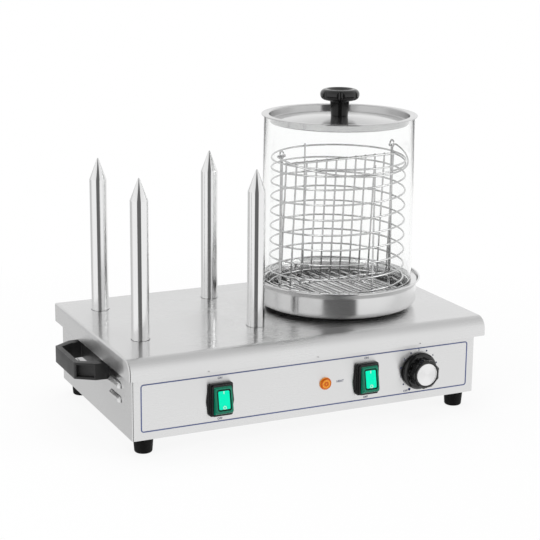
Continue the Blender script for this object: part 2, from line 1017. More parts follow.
FINISHES = {
    "case_steel": MetalFinish(
        "satin_sheet_steel", alike(0.725), 0.28, lines=0.008, depth=0.0001, coat=1.0,
        lay=Lay.SHEET, stretch=0.98, squeeze=(9.0, 2600.0, 2600.0), wear=0.9),
    "polished_steel": MetalFinish(
        "satin_turned_steel", alike(0.735), 0.22, lines=0.010, depth=0.0001,
        lay=Lay.UPRIGHT, stretch=0.95, squeeze=(3.0, 2600.0, 2600.0), centre=PAN_CENTRE),
    "lid_steel": MetalFinish(
        "satin_lid_steel", alike(0.56), 0.17, lines=0.012, depth=0.0002,
        lay=Lay.UPRIGHT, stretch=0.95, squeeze=(3.0, 2600.0, 2600.0), centre=PAN_CENTRE),
    "plate_steel": MetalFinish(
        "rolled_plate_steel", alike(0.60), 0.15, lines=0.01, depth=0.0002, squeeze=alike(300.0)),
    "spike_steel": MetalFinish(
        "polished_spike_steel", alike(0.84), 0.13, lines=0.008, depth=0.00005,
        lay=Lay.ROD, stretch=1.0, squeeze=(60.0, 60.0, 2500.0)),
    "wire_chrome": MetalFinish(
        "drawn_bright_wire", alike(0.54), 0.14, depth=0.001, squeeze=alike(700.0)),
    "screw_steel": MetalFinish(
        "zinced_steel", (0.52, 0.53, 0.54), 0.34, lines=0.08, depth=0.008,
        squeeze=alike(500.0), wear=0.6),
    "heater_steel": MetalFinish(
        "heat_darkened_steel", (0.30, 0.28, 0.27), 0.45, lines=0.2, depth=0.01,
        squeeze=alike(300.0)),
    "plate_iron": MetalFinish(
        "cast_plate_iron", (0.16, 0.16, 0.165), 0.55, lines=0.15, depth=0.03,
        squeeze=alike(800.0), wear=0.5),
    "nut_brass": MetalFinish(
        "machined_brass", (0.68, 0.52, 0.27), 0.30, lines=0.06, depth=0.006,
        squeeze=alike(600.0), wear=0.5),
    "cap_aluminium": MetalFinish(
        "spun_aluminium", alike(0.86), 0.30, lines=0.05, depth=0.003,
        lay=Lay.FACE, stretch=0.85, squeeze=(2.0, 5000.0, 200.0), centre=DIAL_CENTRE),
    "black_plastic": PlasticFinish(
        "matt_black_plastic", alike(0.018), 0.40, grain=1400.0, wear=0.25),
    "hood_black": PlasticFinish(
        "moulded_black_plastic", alike(0.010), 0.30, grain=1400.0, depth=0.01, shine=0.35,
        wear=0.2),
    "gloss_black": PlasticFinish(
        "gloss_black_plastic", alike(0.004), 0.07, grain=500.0, depth=0.001, shine=0.55),
    "foot_rubber": PlasticFinish(
        "black_rubber", alike(0.008), 0.6, grain=1000.0, depth=0.04, shine=0.10),
    "seal_rubber": PlasticFinish(
        "dark_seal_rubber", alike(0.02), 0.6, depth=0.05, shine=0.2),
    "rocker_green": PlasticFinish(
        "rocker_frame_green", (0.001, 0.20, 0.115), 0.20, grain=700.0, depth=0.004, shine=0.4,
        inner=0.1),
    "lamp_orange": PlasticFinish(
        "lamp_orange", (0.60, 0.12, 0.004), 0.16, grain=400.0, depth=0.003, shine=0.4,
        glow=0.16, inner=0.1, mottle=0.05, rings=(LAMP_CENTRE[0], LAMP_CENTRE[2])),
    "print_blue": PlasticFinish(
        "printed_blue", (0.095, 0.125, 0.29), 0.45, grain=2500.0, depth=0.003, mottle=0.1),
    "white_plastic": PlasticFinish(
        "white_plastic", (0.78, 0.77, 0.74), 0.38, depth=0.01, mottle=0.03),
    "white_ceramic": PlasticFinish(
        "white_ceramic", (0.82, 0.80, 0.76), 0.5, grain=700.0, depth=0.03, mottle=0.05),
    "wire_plastic": PlasticFinish("lead_insulation", (0.35, 0.13, 0.06), 0.4, depth=0.01),
    "clear_glass": GlassFinish("tempered_glass", (0.992, 0.996, 0.994), 0.03),
    "window_green": PlasticFinish(
        "lit_green_window", (0.0, 0.74, 0.44), 0.24, grain=500.0, depth=0.002, shine=0.12,
        glow=0.34, inner=0.1, mottle=0.05),
    "gap_black": PlasticFinish(
        "gloss_black_gap", (0.002, 0.02, 0.013), 0.2, grain=500.0, depth=0.002, shine=0.2),
    "mark_white": PlasticFinish(
        "printed_white", (0.80, 0.88, 0.84), 0.4, grain=2500.0, depth=0.002, mottle=0.03),
    "letter_blue": PlasticFinish(
        "printed_dark_blue", (0.012, 0.022, 0.10), 0.45, grain=2500.0, depth=0.003, mottle=0.1),
}

# Frame pieces whose finish isn't that of their record slot.
FRAME_LOOKS = {"steam_plate": "plate_steel", "switch_hood_left": "hood_black",
               "switch_hood_right": "hood_black"}


class Paintbox:
    """Builds every finish once and dresses pieces with them."""

    def __init__(self) -> None:
        """Builds the shared node groups."""
        self.groups = {
            "brush": new_group("brush_lines", {"Place": None, "Squeeze": None},
                               ["Lines", "Cloud"], brush_lines),
            "grain": new_group("moulded_grain", {"Place": None, "Scale": 900.0},
                               ["Grain", "Mottle"], moulded_grain),
            "wear": new_group("edge_wear", {"Place": None, "Radius": 0.0006},
                              ["Mask"], edge_wear),
        }
        self.made: dict[str, bpy.types.Material] = {}

    def finish(self, name: str) -> bpy.types.Material:
        """Returns the material of a finish, built on first use."""
        if name not in self.made:
            self.made[name] = FINISHES[name].make(self.groups)
        return self.made[name]

    def dress(
        self, piece: Piece, body: str, slot: str, *nodes: str, look: str = "",
        smooth: float | None = None,
    ) -> Piece:
        """Gives a finished piece its material, its body and the CAD nodes it stands for.

        Args:
            piece: The piece, at the origin, untransformed.
            body: The CAD body it rides on.
            slot: The record's material slot.
            nodes: The CAD nodes it replaces.
            look: Name of the finish, where it isn't the slot's own.
            smooth: Angle up to which its edges are shaded smooth, if that isn't done yet.

        Returns:
            The same piece.
        """
        if smooth is not None:
            soften(piece, smooth)
        piece.data.materials.clear()
        piece.data.materials.append(self.finish(look or slot))
        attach(piece, body)
        if nodes:
            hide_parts(*nodes)
        LOG.info("%s rides on %s, %d faces", piece.name, body, len(piece.data.polygons))
        return piece

    def dress_frame(self) -> None:
        """Gives every CAD node its finish."""
        for part in frame["record"]["subparts"]:
            look = FRAME_LOOKS.get(part["node"], part["material_slot"])
            for slot in frame["nodes"][part["node"]].material_slots:
                slot.material = self.finish(look)


# ---------------------------------------------------------------- sub-assemblies


@dataclass
class Assembly:
    """A sub-assembly, whose pieces are dressed from the shared paintbox."""

    paint: Paintbox


@dataclass
class Case(Assembly):
    """The folded cover and the louvred housing under it.

    Attributes:
        half_width: Half the cover's width.
        half_depth: Half the cover's depth.
        top: Height of the cover's top.
        hem: Height of the cover's lower edge.
        low: Height of the housing's lower edge.
        nose: Radius of the rounded front.
        fold: Radius of the folded side edges.
        corner: Radius of the housing's upright edges.
        sheet: Thickness of the sheet.
        spike_hole: Radius of the holes for the spikes.
        plate_hole: Radius of the hole for the hot plate.
        notches: Places of the notches in the front lip.
        louvre: Half the length of a louvre's straight part.
        louvre_rows: Heights of the louvres.
        louvre_spots: Places of the louvres from the front to the back.
        window: Half the width and height of a switch opening.
        grip_screws: Places of the handles' screws from the front to the back.
        grip_screw_z: Height of the handles' screws.
    """

    half_width: float = 252.0
    half_depth: float = 147.8
    top: float = 126.5
    hem: float = 101.5
    low: float = 20.5
    nose: float = 16.0
    fold: float = 2.3
    corner: float = 2.0
    sheet: float = 1.2
    spike_hole: float = 12.35
    plate_hole: float = 88.0
    notches: Point3 = (-150.0, 0.0, 150.0)
    louvre: float = 15.0
    louvre_rows: Point2 = (60.0, 78.0)
    louvre_spots: Point2 = (-77.0, 81.0)
    window: Point2 = (13.7, 18.9)
    grip_screws: Point2 = (-48.25, 52.25)
    grip_screw_z: float = 88.15

    def cover_solid(self, name: str, inset: float, low: float) -> Piece:
        """Pulls out the cover's outer or inner solid.

        Args:
            name: Name of the solid.
            inset: Its distance inwards from the cover's outside.
            low: Height of its lower edge.

        Returns:
            The solid.
        """
        front, back = -self.half_depth + inset, self.half_depth - inset
        top, width = self.top - inset, self.half_width - inset
        solid = pulled(name, [
            (front, low, 0), (front, top, self.nose - inset), (back, top, self.fold - inset),
            (back, low, 0)], Plane.SIDE, -width, width)

        def on_side_fold(a: Vector, b: Vector) -> bool:
            """Tells whether an edge runs along a folded side edge."""
            same_side = abs(a.x) > width - 0.1 and abs(a.x - b.x) < 0.1
            return same_side and max(a.z, b.z) > low + 0.1

        return round_chosen(solid, self.fold - inset, 5, on_side_fold)

    def cover(self) -> None:
        """Builds the folded cover with its holes, front lip and small notches."""
        cover = self.cover_solid("cover_sheet", 0.0, self.hem)
        cut(cover, self.cover_solid("hollow", self.sheet, self.hem - 1))
        lip_y, lip_end = -self.half_depth + self.sheet / 2, self.half_width - 2.4
        fuse(cover, block("lip", (-lip_end, lip_y, self.hem),
                          (lip_end, lip_y + 5, self.hem + self.sheet)))
        holes = [(x, y, self.spike_hole, 64) for x, y in SPIKES]
        holes.append((*PAN_CENTRE[:2], self.plate_hole, 128))
        tools = [rod("bore", radius, (x, y, self.top - 4), (x, y, self.top + 4), sides)
                 for x, y, radius, sides in holes]
        tools += [block("notch", (x - 2, -self.half_depth - 1, self.hem - 1),
                        (x + 2, -self.half_depth + 3.6, self.hem + 1.6)) for x in self.notches]
        cut(cover, *tools)
        keep_flat(soften(weld(cover), 25))
        self.paint.dress(cover, "casing", "case_steel", "top_cover")

    def louvre_form(self, name: str, radius: float, wall: float, low: float) -> Piece:
        """Builds one pressed louvre, or its hollow, on the left side.

        Args:
            name: Name of the form.
            radius: Radius of its round back.
            wall: How far it reaches into the side.
            low: Height above its middle at which its mouth opens.

        Returns:
            The form, with its middle at the height and depth of the origin.
        """
        half = self.louvre
        form = turned(name, [(0, -half - radius, 0), (radius, -half - radius, radius - 0.01),
                             (radius, half + radius, radius - 0.01), (0, half + radius, 0)],
                      (-SIDE_X + 2, 0, 0), Turning.LEVEL, 48)
        cut(form, block("low", (-SIDE_X - 20, -40, -20), (-SIDE_X + 20, 40, low)))
        cut(form, block("inner", (-SIDE_X + wall, -40, -20), (-SIDE_X + 20, 40, 20)))
        return weld(form)

    def walls_solid(self, name: str, inset: float, over: float) -> Piece:
        """Pulls up the walls' outer or inner solid with rounded corners.

        Args:
            name: Name of the solid.
            inset: Its distance inwards from the walls' outside.
            over: How far it reaches past the walls' edges.

        Returns:
            The solid.
        """
        x, front, back = SIDE_X - inset, PANEL_Y + inset, BACK_Y - inset
        outline = [(*spot, self.corner - inset)
                   for spot in ((-x, front), (x, front), (x, back), (-x, back))]
        return pulled(name, outline, Plane.FLOOR, self.low - over, self.top - 1.5 + over)

    def housing(self) -> None:
        """Builds the housing's walls with rounded corners, louvres and openings."""
        walls = self.walls_solid("housing_walls", 0.0, 0.0)
        cut(walls, self.walls_solid("hollow", self.sheet, 1.0))
        hood = self.louvre_form("hood", 7.0, 0.6, 0.0)
        hollow = self.louvre_form("hollow", 5.8, 2.2, -0.01)
        spots = [(y, z) for y in self.louvre_spots for z in self.louvre_rows]
        half_turn = Matrix.Rotation(math.pi, 4, "Z")
        places = [shifted(y=y, z=z) for y, z in spots]
        places += [half_turn @ shifted(y=-y, z=z) for y, z in spots]
        for change, form in ((fuse, hood), (cut, hollow)):
            change(walls, *[copied(form, "louvre", place) for place in places])
            bpy.data.objects.remove(form)
        wide, tall = self.window
        tools = [block("window", (x - wide, PANEL_Y - 3, CONTROL_Z - tall),
                       (x + wide, PANEL_Y + 3, CONTROL_Z + tall)) for x in SWITCHES_X.values()]
        for (x, _, z), y, radius in ((LAMP_CENTRE, PANEL_Y, 6.35), (DIAL_CENTRE, PANEL_Y, 5.15),
                                     (GLAND_CENTRE, BACK_Y, 8.15)):
            tools.append(rod("bore", radius, (x, y - 3, z), (x, y + 3, z)))
        for side in (-1, 1):
            for y in self.grip_screws:
                ends = [(side * (SIDE_X + reach), y, self.grip_screw_z) for reach in (-3, 3)]
                tools.append(rod("bore", 2.65, *ends, 24))
        cut(walls, *tools)
        keep_flat(soften(weld(walls), 30))
        self.paint.dress(walls, "casing", "case_steel", "housing_front", "housing_sides",
                         "housing_back")

    def build(self) -> None:
        """Builds all pieces of the case."""
        self.cover()
        self.housing()


@dataclass
class Feet(Assembly):
    """Four tapered rubber feet with a pocket for the screw."""

    low_radius: float = 11.2
    high_radius: float = 12.8
    height: float = 20.5
    bore: float = 2.7
    pocket: float = 5.4
    pocket_top: float = 10.0
    columns: Point2 = (-224.0, 224.0)
    rows: Point2 = (-117.9, 124.1)

    def build(self) -> None:
        """Models one foot and copies it to the four corners."""
        foot = turned("foot", [
            (self.bore, self.pocket_top, 0), (self.pocket, self.pocket_top, 0),
            (self.pocket, 0, 0.6), (self.low_radius, 0, 2.4),
            (self.high_radius, self.height, 0.5), (self.bore, self.height, 0),
            (self.bore, self.pocket_top, 0)], steps=64)
        spots = [(x, y) for x in self.columns for y in self.rows]
        feet = joined("rubber_feet", spread(foot, "foot", spots))
        self.paint.dress(feet, "casing", "foot_rubber", "feet", smooth=35)


@dataclass
class Handles(Assembly):
    """Two hollow-armed plastic handles with an open grip."""

    middle: float = 2.0
    low: float = 77.4
    high: float = 98.9
    wall: float = 3.0
    pocket: float = 6.5
    pocket_over: float = 4.0
    arm_ends: tuple[Point2, Point2] = ((19.5, 54.0), (38.5, 40.7))

    def outline(self, corners: Sequence[Point3]) -> list[Point3]:
        """Mirrors half an outline front to back and sets it on the left side.

        Args:
            corners: Half the corners, as (outwards, forwards, radius).

        Returns:
            All the corners, as (x, y, radius).
        """
        whole = list(corners) + [(out, -y, r) for out, y, r in reversed(corners)]
        return [(-SIDE_X - out, self.middle + y, r) for out, y, r in whole]

    def arm_pocket(self, sign: int) -> Piece:
        """Builds the cutter for the hollow in the front or the back slanted arm.

        Args:
            sign: -1 for the front arm, 1 for the back one.

        Returns:
            The cutter.
        """
        a, b = (Vector(end) for end in self.arm_ends)
        along = (a - b).normalized()
        across = Vector((along.y, -along.x))
        corners = [a + self.pocket_over * across, b + self.pocket_over * across,
                   b - self.pocket * across, a - self.pocket * across]
        outline = [(-SIDE_X - p.x, self.middle + sign * p.y) for p in corners]
        return pulled("pocket", outline, Plane.FLOOR, self.low + self.wall, self.high - self.wall)

    def build(self) -> None:
        """Models the left handle and mirrors it."""
        outer = self.outline([(0, 56, 0), (18, 55, 2.5), (41, 39, 3.0)])
        inner = self.outline([(3, 44.5, 1.5), (18, 43, 1.5), (34, 33, 2.0)])
        left = pulled("handle_left_grip", outer, Plane.FLOOR, self.low, self.high)
        window = pulled("window", inner, Plane.FLOOR, self.low - 1, self.high + 1)
        cut(left, window, self.arm_pocket(1), self.arm_pocket(-1))
        soften(round_edges(weld(left), 0.8, 3, 35), 35)
        right = mirrored(left, "handle_right_grip")
        self.paint.dress(left, "casing", "black_plastic", "handle_left")
        self.paint.dress(right, "casing", "black_plastic", "handle_right", smooth=35)


@dataclass
class Spikes(Assembly):
    """Four polished heating spikes with hollow walls."""

    radius: float = 11.5
    bore: float = 10.3
    bore_top: float = 326.0
    low: float = 104.5
    shoulder: float = 304.0
    tip: float = 332.5
    tip_radius: float = 1.3

    def build(self) -> None:
        """Turns one spike and copies it to its four places."""
        spike = turned("spike", [
            (0, self.bore_top, 0), (self.bore, self.shoulder, 0), (self.bore, self.low, 0),
            (self.radius, self.low, 0.3), (self.radius, self.shoulder, 2.5),
            (self.tip_radius, self.tip - 1.2, 1.4), (0, self.tip, 0)], steps=64)
        spikes = joined("spike_shells", spread(spike, "spike", SPIKES))
        self.paint.dress(spikes, "casing", "polished_steel", "spike_tubes", look="spike_steel",
                         smooth=30)


@dataclass
class SteamTower(Assembly):
    """Water pan, glass seat, glass cylinder, lid and knob, all turned about one axis."""

    pan_low: float = 130.9
    pan_radius: float = 109.5
    pan_wall: float = 1.0
    flare_low: float = 159.7
    bead_z: float = 166.2
    bead_at: float = 113.2
    bead: float = 1.3
    seat_inner: float = 96.5
    seat_outer: float = 110.2
    seat_top: float = 164.4
    seat_sheet: float = 1.2
    seat_drop: float = 7.2
    glass_low: float = 164.6
    glass_high: float = 385.6
    glass_radii: Point2 = (102.4, 100.6)
    glass_wall: float = 3.5
    lid_radius: float = 104.3
    lid_low: float = 385.9
    lid_rim: float = 386.9
    recess: float = 93.0
    recess_floor: float = 376.6
    crown: float = 385.0
    screw_hole: float = 4.8
    knob_bore: float = 3.05
    knob_foot: float = 385.0
    knob_low: float = 405.5
    knob_top: float = 420.3
    knob_radius: float = 26.3
    grooves: int = 7
    groove_radius: float = 3.4
    groove_at: float = 27.3
    groove_start: float = 244.6

    def spun(self, name: str, outline: Sequence[Point2], steps: int) -> Piece:
        """Spins a closed outline about the tower's axis.

        Args:
            name: Name of the new piece.
            outline: The outline's points, as (radius, height).
            steps: Number of faces around the piece.

        Returns:
            The turned piece.
        """
        return turned(name, [*outline, outline[0]], PAN_CENTRE, steps=steps)

    def pan(self) -> None:
        """Spins the pan: rounded bottom, straight wall, widened mouth and rolled bead."""
        low, radius, wall = self.pan_low, self.pan_radius, self.pan_wall
        bead = []
        for angle in range(-60, 201, 20):
            out, up = polar(self.bead, angle)
            bead.append((self.bead_at + out, self.bead_z + up))
        outside = rounded_outline([
            (0, low, 0), (radius, low, 8.0), (radius, self.flare_low, 5.0),
            (self.bead_at - 0.2, self.bead_z - 0.8, 0)], closed=False)
        inside = rounded_outline([
            (self.bead_at - 1.2, self.bead_z - 0.6, 0), (radius - wall, self.flare_low + 0.3, 5.0),
            (radius - wall, low + wall, 7.0), (0, low + wall, 0)], closed=False)
        pan = turned("pan_shell", outside + bead + inside, PAN_CENTRE, steps=160)
        self.paint.dress(pan, "pan", "polished_steel", "water_pan", smooth=40)

    def seat(self) -> None:
        """Spins the ring on which the glass stands, with its turned down inner edge."""
        inner, outer, top, sheet = self.seat_inner, self.seat_outer, self.seat_top, self.seat_sheet
        seat = self.spun("seat_ring", rounded_outline([
            (inner, top - self.seat_drop, 0.5), (inner + sheet, top - self.seat_drop, 0.5),
            (inner + sheet, top - sheet, 0.6), (outer, top - sheet, 0.5), (outer, top, 0.5),
            (inner, top, 1.4)]), 128)
        self.paint.dress(seat, "pan", "polished_steel", "glass_seat", smooth=35)

    def glass(self) -> None:
        """Spins the glass wall, slightly narrower at the top, with ground edges."""
        (low_radius, high_radius), wall = self.glass_radii, self.glass_wall
        glass = self.spun("glass_wall", rounded_outline([
            (low_radius - wall, self.glass_low, 1.0), (low_radius, self.glass_low, 1.2),
            (high_radius, self.glass_high, 1.2), (high_radius - wall, self.glass_high, 1.2)]), 160)
        self.paint.dress(glass, "glass", "clear_glass", "glass_cylinder", smooth=40)

    def lid(self) -> None:
        """Spins the lid: flat rim, recess and crowned middle."""
        recess, floor, crown, edge = self.recess, self.recess_floor, self.crown, self.lid_radius
        ball = (recess ** 2 + (crown - floor) ** 2) / (2 * (crown - floor))
        radii = [recess - 1.6 - k * (recess - self.screw_hole) / 18 for k in range(19)]
        upper, lower = ([(r, crown - drop - ball + math.sqrt(ball ** 2 - r ** 2)) for r in radii]
                        for drop in (0, 1))
        above = rounded_outline([
            (edge, self.lid_low, 0.4), (edge, self.lid_rim, 0.4), (recess + 1, self.lid_rim, 1.5),
            (recess, floor + 0.5, 1.2), (*upper[0], 0)], closed=False)
        below = rounded_outline([
            (*lower[0], 0), (recess + 1, floor - 0.6, 1.6), (recess + 1, self.lid_low, 0.6),
            (edge, self.lid_low, 0.4)], closed=False)
        lid = self.spun("lid_shell", above + upper[1:] + lower[:0:-1] + below, 160)
        self.paint.dress(lid, "lid", "polished_steel", "lid", look="lid_steel", smooth=35)

    def knob(self) -> None:
        """Turns the lid's knob, hollows its top and cuts its grooves."""
        foot, low, top, radius = self.knob_foot, self.knob_low, self.knob_top, self.knob_radius
        profile = rounded_outline([
            (self.knob_bore, foot + 15, 0), (self.knob_bore, foot, 0), (11.5, foot, 0.8),
            (13.0, low + 0.5, 2.5), (radius, low, 7.0), (radius, top, 7.0), (18.2, top, 1.2),
            (13.0, top - 3, 1.5), (0, top - 3, 0)], closed=False)
        knob = turned("knob_grip", [(0, foot + 15)] + profile, PAN_CENTRE, steps=112)
        grooves = []
        for i in range(self.grooves):
            out, across = polar(self.groove_at, self.groove_start + i * 360 / self.grooves)
            ends = [(PAN_CENTRE[0] + out, across, z) for z in (low - 2, top + 2)]
            grooves.append(rod("groove", self.groove_radius, *ends, 32))
        cut(knob, *grooves)
        round_edges(weld(knob, 0.02), 0.6, 2, 38)
        self.paint.dress(knob, "lid", "gloss_black", "lid_knob", smooth=40)

    def build(self) -> None:
        """Builds all pieces of the tower."""
        for part in (self.pan, self.seat, self.glass, self.lid, self.knob):
            part()


@dataclass
class Basket(Assembly):
    """The wire basket: rings, wound wall, uprights, ears, divider and bail.

    Attributes:
        wire: Radius of the wire.
        sides: Number of faces around the wire.
        coil: Radius of the rings and the wound wall.
        crossing: Height between two wires that cross.
        base_z: Height of the lowest ring.
        top_ring_z: Height of the flat top ring.
        turns: Turns of the wound wire.
        even_turns: Turns that rise by the full pitch.
        start_angle: Direction in which the wound wire starts.
        pitch: Rise of an even turn.
        last_pitch: Rise of the turn after the even ones.
        tail: Rise of the last part of a turn.
        floor_wires: Number of wires in the floor.
        post: Distance of the uprights from the axis.
        post_low: Height of the uprights' feet.
        post_high: Height of the single uprights' tops.
        ear_angle: Direction of the right ear.
        ear_half: Half the distance between an ear's two legs.
        eye: Radius of an ear's eye.
        eye_z: Height of the eyes' middles.
        fence_height: Height of the divider's bars.
        fence_bars: Number of the divider's bars.
        fence_gap: Distance between the divider's bars.
        fence_low: Height of the divider's foot.
        fence_lean: Lean of the divider, in degrees.
        bail: Radius of the bail.
        bail_end: Distance of the bail's ends from the axis.
        bail_knob: Radius of the bail's thickened ends.
        bail_drop: Height of the resting bail over its ends, in degrees.
        hinge_z: Height of the bail's ends.
    """

    wire: float = 1.2
    sides: int = 12
    coil: float = 90.5
    crossing: float = 2.45
    base_z: float = 154.9
    top_ring_z: float = 327.35
    turns: float = 8 + 21 / 36
    even_turns: int = 7
    start_angle: float = 154.7
    pitch: float = 20.0
    last_pitch: float = 19.0
    tail: float = 11.0
    floor_wires: int = 10
    post: float = 88.0
    post_low: float = 150.3
    post_high: float = 331.35
    ear_angle: float = 4.7
    ear_half: float = 1.5
    eye: float = 4.4
    eye_z: float = 338.35
    fence_height: float = 170.55
    fence_bars: int = 12
    fence_gap: float = 15.5
    fence_low: float = 158.3
    fence_lean: float = 4.0
    bail: float = 94.6
    bail_end: float = 84.0
    bail_knob: float = 1.9
    bail_drop: float = 11.5
    hinge_z: float = 336.5

    def bent(self, name: str, points: Sequence[Vector], closed: bool = False) -> Piece:
        """Bends a piece of the basket's wire along a path.

        Args:
            name: Name of the piece.
            points: The middle of the wire.
            closed: True if the wire is a ring.

        Returns:
            The wire.
        """
        return tube(name, points, self.wire, closed=closed, sides=self.sides)

    def at(self, radius: float, angle: float, z: float) -> Vector:
        """Returns the point at a radius and angle about the basket's axis."""
        out, across = polar(radius, angle)
        return Vector((PAN_CENTRE[0] + out, across, z))

    def local(self, x: float, y: float, z: float) -> Vector:
        """Returns a point of the basket's own frame, whose x axis runs through the ears."""
        turn = math.radians(self.ear_angle)
        return Vector((PAN_CENTRE[0] + x * math.cos(turn) - y * math.sin(turn),
                       x * math.sin(turn) + y * math.cos(turn), z))

    def ring(self, name: str, z: float) -> Piece:
        """Draws a level ring of wire."""
        points = [self.at(self.coil, 360 * k / 96, z) for k in range(96)]
        return self.bent(name, points, closed=True)

    def start_z(self, turn: int) -> float:
        """Returns the height of the wire at the start of a turn.

        Args:
            turn: Number of the turn, from 0.

        Returns:
            The height.
        """
        if turn == 0:
            return self.base_z + self.crossing
        return (self.base_z + self.pitch * min(turn, self.even_turns)
                + (self.last_pitch if turn > self.even_turns else 0))

    def wire_z(self, turn: float) -> float:
        """Returns the height of the wound wire after a number of turns.

        Args:
            turn: The number of turns from the wire's start.

        Returns:
            The height.
        """
        whole = int(turn + 1e-6)
        part = 2 * (turn - whole)
        low = self.start_z(whole)
        if whole > self.even_turns:
            return low + (turn - whole) * self.tail / (self.turns - whole)
        middle = low + (11.5 if whole == 0 else 12.0)
        if part < 1:
            return low + part * (middle - low)
        return middle + (part - 1) * (self.start_z(whole + 1) - middle)

    def wall(self) -> Piece:
        """Winds the wall from one wire, and closes it with the flat top ring.

        Returns:
            The wall with its ring.
        """
        steps = 60
        points = [self.at(self.coil, self.start_angle + 360 * k / steps, self.wire_z(k / steps))
                  for k in range(round(self.turns * steps) + 1)]
        wound = self.bent("wound", points)
        return joined("basket_wound_wall", [wound, self.ring("top", self.top_ring_z)])

    def base(self) -> Piece:
        """Makes the lowest ring and the floor wires welded under it.

        Returns:
            The floor with its ring.
        """
        reach = self.coil - self.wire - 0.05
        parts = [self.ring("low", self.base_z)]
        for i in range(self.floor_wires):
            x = (i - (self.floor_wires - 1) / 2) * 2 * reach / (self.floor_wires + 2)
            y = math.sqrt(self.coil ** 2 - x ** 2)
            parts.append(self.bent("floor", [
                self.local(x, side * y, self.base_z - self.crossing) for side in (-1, 1)]))
        return joined("basket_floor", parts)

    def uprights(self) -> Piece:
        """Makes the doubled uprights with their ears, and a single one in front and behind.

        Returns:
            All the uprights.
        """
        parts = self.ears()
        for angle in (90, 270):
            parts.append(self.bent("upright", [
                self.at(self.post, self.ear_angle + angle, z)
                for z in (self.post_low, self.post_high)]))
        return joined("basket_side_wires", parts)

    def ears(self) -> list[Piece]:
        """Bends each doubled upright from one wire that loops round in an eye.

        Returns:
            The left and the right ear.
        """
        half, eye = self.ear_half, self.eye
        turn = math.degrees(math.asin(half / eye))
        foot = self.eye_z - math.sqrt(eye ** 2 - half ** 2)
        loop = [(-half, self.post_low), (-half, foot - 3)]
        for k in range(25):
            across, up = polar(eye, 270 - turn - k * (360 - 2 * turn) / 24)
            loop.append((across, self.eye_z + up))
        loop += [(half, foot - 3), (half, self.post_low)]
        return [self.bent("ear", [self.local(side * self.post, y, z) for y, z in loop])
                for side in (-1, 1)]

    def divider(self) -> Piece:
        """Makes the leaning fence of wires between a double and a single rail.

        Returns:
            The fence.
        """
        lean = math.radians(self.fence_lean)
        height, half = self.fence_height, (self.fence_bars - 1) / 2 * self.fence_gap

        def spot(x: float, y: float, z: float) -> Vector:
            """Leans a point of the fence towards the front."""
            return self.local(x, 4 + y * math.cos(lean) - z * math.sin(lean),
                              self.fence_low + y * math.sin(lean) + z * math.cos(lean))

        parts = [self.bent("bar", [spot(i * self.fence_gap - half, 0, z) for z in (0, height)])
                 for i in range(self.fence_bars)]
        for y, z in ((-1.8, height - 2.4), (1.8, height - 2.4), (1.8, 2.4)):
            parts.append(self.bent("rail", [spot(side * (half + 1.2), y, z) for side in (-1, 1)]))
        return joined("basket_fence", parts)

    def bail_wire(self) -> Piece:
        """Bends the carrying bail, with its ends turned in through the eyes.

        Returns:
            The bail.
        """
        drop = math.radians(self.bail_drop)
        path = [Vector((-self.bail_end, 0, 0)), Vector((-self.bail, 0, 0))]
        for k in range(1, 48):
            angle = math.pi + math.pi * k / 48
            x, y = self.bail * math.cos(angle), self.bail * math.sin(angle)
            path.append(Vector((x, y * math.cos(drop), y * math.sin(drop))))
        path += [Vector((self.bail, 0, 0)), Vector((self.bail_end, 0, 0))]
        radii = [0.0] * len(path)
        radii[1] = radii[-2] = 2.4
        parts = [self.bent("bail", [self.local(p.x, p.y, self.hinge_z + p.z)
                                    for p in rounded_path(path, radii)])]
        for side in (-1, 1):
            end = self.local(side * self.bail_end, 0, self.hinge_z)
            clear_selection()
            bpy.ops.mesh.primitive_uv_sphere_add(
                segments=16, ring_count=10, radius=self.bail_knob * MM, location=end * MM)
            parts.append(freeze(bpy.context.object))
        return joined("basket_carrying_bail", parts)

    def build(self) -> None:
        """Builds the basket's pieces and puts them on their bodies."""
        coils = [f"basket_coil_{turn + 1}" for turn in range(9)] + ["basket_top_ring"]
        for piece, body, nodes in (
            (self.base(), "basket", ["basket_base"]), (self.wall(), "basket", coils),
            (self.uprights(), "basket", ["basket_uprights"]),
            (self.divider(), "basket", ["basket_divider"]),
            (self.bail_wire(), "bail", ["basket_bail"]),
        ):
            self.paint.dress(piece, body, "wire_chrome", *nodes, smooth=50)


